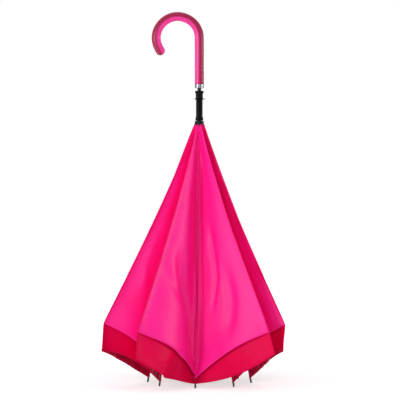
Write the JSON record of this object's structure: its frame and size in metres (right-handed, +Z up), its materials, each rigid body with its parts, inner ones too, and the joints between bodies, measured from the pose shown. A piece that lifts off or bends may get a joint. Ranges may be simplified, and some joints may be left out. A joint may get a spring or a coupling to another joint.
{
  "type": "inverted umbrella",
  "caption": "Folded inverted umbrella standing on its rib tips: crook handle, sliding runner, hinged ribs and struts, and a double canopy that opens towards the handle.",
  "frame": {"origin": "on the floor, under the middle of the folded canopy's outline; the shaft's axis stands 13.0 mm to +X and 0.3 mm to -Y of it, because the pictured folds reach further to the left and the back", "axes": "+Z up along the shaft towards the crook, -X the side that the crook bends to, -Y the pictured front"},
  "size_m": [0.4082, 0.446, 0.8163],
  "materials": {
    "lining_cloth": "satin woven polyester, bright pink",
    "rain_cloth": "satin woven polyester, darker red pink",
    "leather_cover": "smooth dyed leather, semi gloss",
    "grip_core": "moulded",
    "bright_collar": "polished",
    "frame_rods": "black coated rods and strips",
    "dark_steel": "black plated steel",
    "black_plastic": "moulded, semi gloss"
  },
  "bodies": {
    "shaft": {"shaft_tube": "dark_steel", "ferrule_cap": "black_plastic", "strut_hub": "black_plastic", "strut_wire": "dark_steel", "grip_collar": "bright_collar", "grip_core": "grip_core", "grip_cover": "leather_cover"},
    "runner": {"runner_sleeve": "black_plastic", "rib_hub": "black_plastic", "rib_wire": "dark_steel"},
    "rib_1": {"rib_1": "frame_rods"},
    "rib_2": {"rib_2": "frame_rods"},
    "rib_3": {"rib_3": "frame_rods"},
    "rib_4": {"rib_4": "frame_rods"},
    "rib_5": {"rib_5": "frame_rods"},
    "rib_6": {"rib_6": "frame_rods"},
    "rib_7": {"rib_7": "frame_rods"},
    "rib_8": {"rib_8": "frame_rods"},
    "strut_1": {"strut_1": "frame_rods"},
    "strut_2": {"strut_2": "frame_rods"},
    "strut_3": {"strut_3": "frame_rods"},
    "strut_4": {"strut_4": "frame_rods"},
    "strut_5": {"strut_5": "frame_rods"},
    "strut_6": {"strut_6": "frame_rods"},
    "strut_7": {"strut_7": "frame_rods"},
    "strut_8": {"strut_8": "frame_rods"},
    "half_gore_1_left": {"lining_1_left": "lining_cloth", "rain_1_left": "rain_cloth"},
    "half_gore_1_right": {"lining_1_right": "lining_cloth", "rain_1_right": "rain_cloth"},
    "half_gore_2_left": {"lining_2_left": "lining_cloth", "rain_2_left": "rain_cloth"},
    "half_gore_2_right": {"lining_2_right": "lining_cloth", "rain_2_right": "rain_cloth"},
    "half_gore_3_left": {"lining_3_left": "lining_cloth", "rain_3_left": "rain_cloth"},
    "half_gore_3_right": {"lining_3_right": "lining_cloth", "rain_3_right": "rain_cloth"},
    "half_gore_4_left": {"lining_4_left": "lining_cloth", "rain_4_left": "rain_cloth"},
    "half_gore_4_right": {"lining_4_right": "lining_cloth", "rain_4_right": "rain_cloth"},
    "half_gore_5_left": {"lining_5_left": "lining_cloth", "rain_5_left": "rain_cloth"},
    "half_gore_5_right": {"lining_5_right": "lining_cloth", "rain_5_right": "rain_cloth"},
    "half_gore_6_left": {"lining_6_left": "lining_cloth", "rain_6_left": "rain_cloth"},
    "half_gore_6_right": {"lining_6_right": "lining_cloth", "rain_6_right": "rain_cloth"},
    "half_gore_7_left": {"lining_7_left": "lining_cloth", "rain_7_left": "rain_cloth"},
    "half_gore_7_right": {"lining_7_right": "lining_cloth", "rain_7_right": "rain_cloth"},
    "half_gore_8_left": {"lining_8_left": "lining_cloth", "rain_8_left": "rain_cloth"},
    "half_gore_8_right": {"lining_8_right": "lining_cloth", "rain_8_right": "rain_cloth"},
    "lower_catch": {"lower_catch": "dark_steel"},
    "upper_catch": {"upper_catch": "dark_steel"}
  },
  "joints": [
    {"name": "runner_slide", "type": "slide", "parent": "shaft", "child": "runner", "axis": [0, 0, -1], "range_m": [0, 0.37263]},
    {"name": "rib_1_hinge", "type": "hinge", "parent": "runner", "child": "rib_1", "pos_m": [0.01242, -0.00832, 0.5752], "axis": [-0.9972, 0.075, 0], "range_deg": [0, 112.52]},
    {"name": "rib_2_hinge", "type": "hinge", "parent": "runner", "child": "rib_2", "pos_m": [0.01824, -0.00641, 0.5752], "axis": [-0.7581, -0.6521, 0], "range_deg": [0, 112.52]},
    {"name": "rib_3_hinge", "type": "hinge", "parent": "runner", "child": "rib_3", "pos_m": [0.021, -0.00094, 0.5752], "axis": [-0.075, -0.9972, 0], "range_deg": [0, 112.52]},
    {"name": "rib_4_hinge", "type": "hinge", "parent": "runner", "child": "rib_4", "pos_m": [0.01909, 0.00488, 0.5752], "axis": [0.6521, -0.7581, 0], "range_deg": [0, 112.52]},
    {"name": "rib_5_hinge", "type": "hinge", "parent": "runner", "child": "rib_5", "pos_m": [0.01362, 0.00764, 0.5752], "axis": [0.9972, -0.075, 0], "range_deg": [0, 112.52]},
    {"name": "rib_6_hinge", "type": "hinge", "parent": "runner", "child": "rib_6", "pos_m": [0.0078, 0.00573, 0.5752], "axis": [0.7581, 0.6521, 0], "range_deg": [0, 112.52]},
    {"name": "rib_7_hinge", "type": "hinge", "parent": "runner", "child": "rib_7", "pos_m": [0.00504, 0.00026, 0.5752], "axis": [0.075, 0.9972, 0], "range_deg": [0, 112.52]},
    {"name": "rib_8_hinge", "type": "hinge", "parent": "runner", "child": "rib_8", "pos_m": [0.00696, -0.00556, 0.5752], "axis": [-0.6521, 0.7581, 0], "range_deg": [0, 112.52]},
    {"name": "strut_1_hinge", "type": "hinge", "parent": "rib_1", "child": "strut_1", "pos_m": [0.01013, -0.03878, 0.37746], "axis": [0.9972, -0.075, 0], "range_deg": [0, 151.33]},
    {"name": "strut_2_hinge", "type": "hinge", "parent": "rib_2", "child": "strut_2", "pos_m": [0.03816, -0.02956, 0.37746], "axis": [0.7581, 0.6521, 0], "range_deg": [0, 151.33]},
    {"name": "strut_3_hinge", "type": "hinge", "parent": "rib_3", "child": "strut_3", "pos_m": [0.05146, -0.00323, 0.37746], "axis": [0.075, 0.9972, 0], "range_deg": [0, 151.33]},
    {"name": "strut_4_hinge", "type": "hinge", "parent": "rib_4", "child": "strut_4", "pos_m": [0.04224, 0.0248, 0.37746], "axis": [-0.6521, 0.7581, 0], "range_deg": [0, 151.33]},
    {"name": "strut_5_hinge", "type": "hinge", "parent": "rib_5", "child": "strut_5", "pos_m": [0.01591, 0.0381, 0.37746], "axis": [-0.9972, 0.075, 0], "range_deg": [0, 151.33]},
    {"name": "strut_6_hinge", "type": "hinge", "parent": "rib_6", "child": "strut_6", "pos_m": [-0.01212, 0.02888, 0.37746], "axis": [-0.7581, -0.6521, 0], "range_deg": [0, 151.33]},
    {"name": "strut_7_hinge", "type": "hinge", "parent": "rib_7", "child": "strut_7", "pos_m": [-0.02542, 0.00255, 0.37746], "axis": [-0.075, -0.9972, 0], "range_deg": [0, 151.33]},
    {"name": "strut_8_hinge", "type": "hinge", "parent": "rib_8", "child": "strut_8", "pos_m": [-0.0162, -0.02548, 0.37746], "axis": [0.6521, -0.7581, 0], "range_deg": [0, 151.33]},
    {"name": "half_gore_1_left_fold", "type": "hinge", "parent": "rib_1", "child": "half_gore_1_left", "pos_m": [0.01242, -0.00832, 0.5752], "axis": [0.0137, 0.1817, 0.9833], "range_deg": [0, 15.15]},
    {"name": "half_gore_1_right_fold", "type": "hinge", "parent": "rib_2", "child": "half_gore_1_right", "pos_m": [0.01824, -0.00641, 0.5752], "axis": [0.1188, -0.1382, -0.9833], "range_deg": [0, 72.78]},
    {"name": "half_gore_2_left_fold", "type": "hinge", "parent": "rib_2", "child": "half_gore_2_left", "pos_m": [0.01824, -0.00641, 0.5752], "axis": [-0.1188, 0.1382, 0.9833], "range_deg": [0, 63.22]},
    {"name": "half_gore_2_right_fold", "type": "hinge", "parent": "rib_3", "child": "half_gore_2_right", "pos_m": [0.021, -0.00094, 0.5752], "axis": [0.1817, -0.0137, -0.9833], "range_deg": [0, 23.08]},
    {"name": "half_gore_3_left_fold", "type": "hinge", "parent": "rib_3", "child": "half_gore_3_left", "pos_m": [0.021, -0.00094, 0.5752], "axis": [-0.1817, 0.0137, 0.9833], "range_deg": [0, 14.13]},
    {"name": "half_gore_3_right_fold", "type": "hinge", "parent": "rib_4", "child": "half_gore_3_right", "pos_m": [0.01909, 0.00488, 0.5752], "axis": [0.1382, 0.1188, -0.9833], "range_deg": [0, 74.06]},
    {"name": "half_gore_4_left_fold", "type": "hinge", "parent": "rib_4", "child": "half_gore_4_left", "pos_m": [0.01909, 0.00488, 0.5752], "axis": [-0.1382, -0.1188, 0.9833], "range_deg": [0, 52.41]},
    {"name": "half_gore_4_right_fold", "type": "hinge", "parent": "rib_5", "child": "half_gore_4_right", "pos_m": [0.01362, 0.00764, 0.5752], "axis": [0.0137, 0.1817, -0.9833], "range_deg": [0, 32.7]},
    {"name": "half_gore_5_left_fold", "type": "hinge", "parent": "rib_5", "child": "half_gore_5_left", "pos_m": [0.01362, 0.00764, 0.5752], "axis": [-0.0137, -0.1817, 0.9833], "range_deg": [0, 27.9]},
    {"name": "half_gore_5_right_fold", "type": "hinge", "parent": "rib_6", "child": "half_gore_5_right", "pos_m": [0.0078, 0.00573, 0.5752], "axis": [-0.1188, 0.1382, -0.9833], "range_deg": [0, 57.69]},
    {"name": "half_gore_6_left_fold", "type": "hinge", "parent": "rib_6", "child": "half_gore_6_left", "pos_m": [0.0078, 0.00573, 0.5752], "axis": [0.1188, -0.1382, 0.9833], "range_deg": [0, 69.08]},
    {"name": "half_gore_6_right_fold", "type": "hinge", "parent": "rib_7", "child": "half_gore_6_right", "pos_m": [0.00504, 0.00026, 0.5752], "axis": [-0.1817, 0.0137, -0.9833], "range_deg": [0, 18.16]},
    {"name": "half_gore_7_left_fold", "type": "hinge", "parent": "rib_7", "child": "half_gore_7_left", "pos_m": [0.00504, 0.00026, 0.5752], "axis": [0.1817, -0.0137, 0.9833], "range_deg": [0, 24.05]},
    {"name": "half_gore_7_right_fold", "type": "hinge", "parent": "rib_8", "child": "half_gore_7_right", "pos_m": [0.00696, -0.00556, 0.5752], "axis": [-0.1382, -0.1188, -0.9833], "range_deg": [0, 62.09]},
    {"name": "half_gore_8_left_fold", "type": "hinge", "parent": "rib_8", "child": "half_gore_8_left", "pos_m": [0.00696, -0.00556, 0.5752], "axis": [0.1382, 0.1188, 0.9833], "range_deg": [0, 49.84]},
    {"name": "half_gore_8_right_fold", "type": "hinge", "parent": "rib_1", "child": "half_gore_8_right", "pos_m": [0.01242, -0.00832, 0.5752], "axis": [-0.0137, -0.1817, -0.9833], "range_deg": [0, 35.09]},
    {"name": "lower_catch_press", "type": "slide", "parent": "shaft", "child": "lower_catch", "axis": [-0.8926, 0.4509, 0], "range_m": [0, 0.0016], "stiffness_N_per_m": 400},
    {"name": "upper_catch_press", "type": "slide", "parent": "shaft", "child": "upper_catch", "axis": [-0.8926, 0.4509, 0], "range_m": [0, 0.0016], "stiffness_N_per_m": 400}
  ],
  "couplings": [
    {"joint": "rib_1_hinge", "follows": "runner_slide", "rad_per_m": 5.2693},
    {"joint": "rib_2_hinge", "follows": "runner_slide", "rad_per_m": 5.2693},
    {"joint": "rib_3_hinge", "follows": "runner_slide", "rad_per_m": 5.2693},
    {"joint": "rib_4_hinge", "follows": "runner_slide", "rad_per_m": 5.2693},
    {"joint": "rib_5_hinge", "follows": "runner_slide", "rad_per_m": 5.2693},
    {"joint": "rib_6_hinge", "follows": "runner_slide", "rad_per_m": 5.2693},
    {"joint": "rib_7_hinge", "follows": "runner_slide", "rad_per_m": 5.2693},
    {"joint": "rib_8_hinge", "follows": "runner_slide", "rad_per_m": 5.2693},
    {"joint": "strut_1_hinge", "follows": "runner_slide", "rad_per_m": 7.0869},
    {"joint": "strut_2_hinge", "follows": "runner_slide", "rad_per_m": 7.0869},
    {"joint": "strut_3_hinge", "follows": "runner_slide", "rad_per_m": 7.0869},
    {"joint": "strut_4_hinge", "follows": "runner_slide", "rad_per_m": 7.0869},
    {"joint": "strut_5_hinge", "follows": "runner_slide", "rad_per_m": 7.0869},
    {"joint": "strut_6_hinge", "follows": "runner_slide", "rad_per_m": 7.0869},
    {"joint": "strut_7_hinge", "follows": "runner_slide", "rad_per_m": 7.0869},
    {"joint": "strut_8_hinge", "follows": "runner_slide", "rad_per_m": 7.0869},
    {"joint": "half_gore_1_left_fold", "follows": "runner_slide", "rad_per_m": 0.70866},
    {"joint": "half_gore_1_right_fold", "follows": "runner_slide", "rad_per_m": 3.4081},
    {"joint": "half_gore_2_left_fold", "follows": "runner_slide", "rad_per_m": 2.9603},
    {"joint": "half_gore_2_right_fold", "follows": "runner_slide", "rad_per_m": 1.0799},
    {"joint": "half_gore_3_left_fold", "follows": "runner_slide", "rad_per_m": 0.66087},
    {"joint": "half_gore_3_right_fold", "follows": "runner_slide", "rad_per_m": 3.4677},
    {"joint": "half_gore_4_left_fold", "follows": "runner_slide", "rad_per_m": 2.4538},
    {"joint": "half_gore_4_right_fold", "follows": "runner_slide", "rad_per_m": 1.5304},
    {"joint": "half_gore_5_left_fold", "follows": "runner_slide", "rad_per_m": 1.3059},
    {"joint": "half_gore_5_right_fold", "follows": "runner_slide", "rad_per_m": 2.7012},
    {"joint": "half_gore_6_left_fold", "follows": "runner_slide", "rad_per_m": 3.2344},
    {"joint": "half_gore_6_right_fold", "follows": "runner_slide", "rad_per_m": 0.84988},
    {"joint": "half_gore_7_left_fold", "follows": "runner_slide", "rad_per_m": 1.1254},
    {"joint": "half_gore_7_right_fold", "follows": "runner_slide", "rad_per_m": 2.9074},
    {"joint": "half_gore_8_left_fold", "follows": "runner_slide", "rad_per_m": 2.3336},
    {"joint": "half_gore_8_right_fold", "follows": "runner_slide", "rad_per_m": 1.6428}
  ]
}
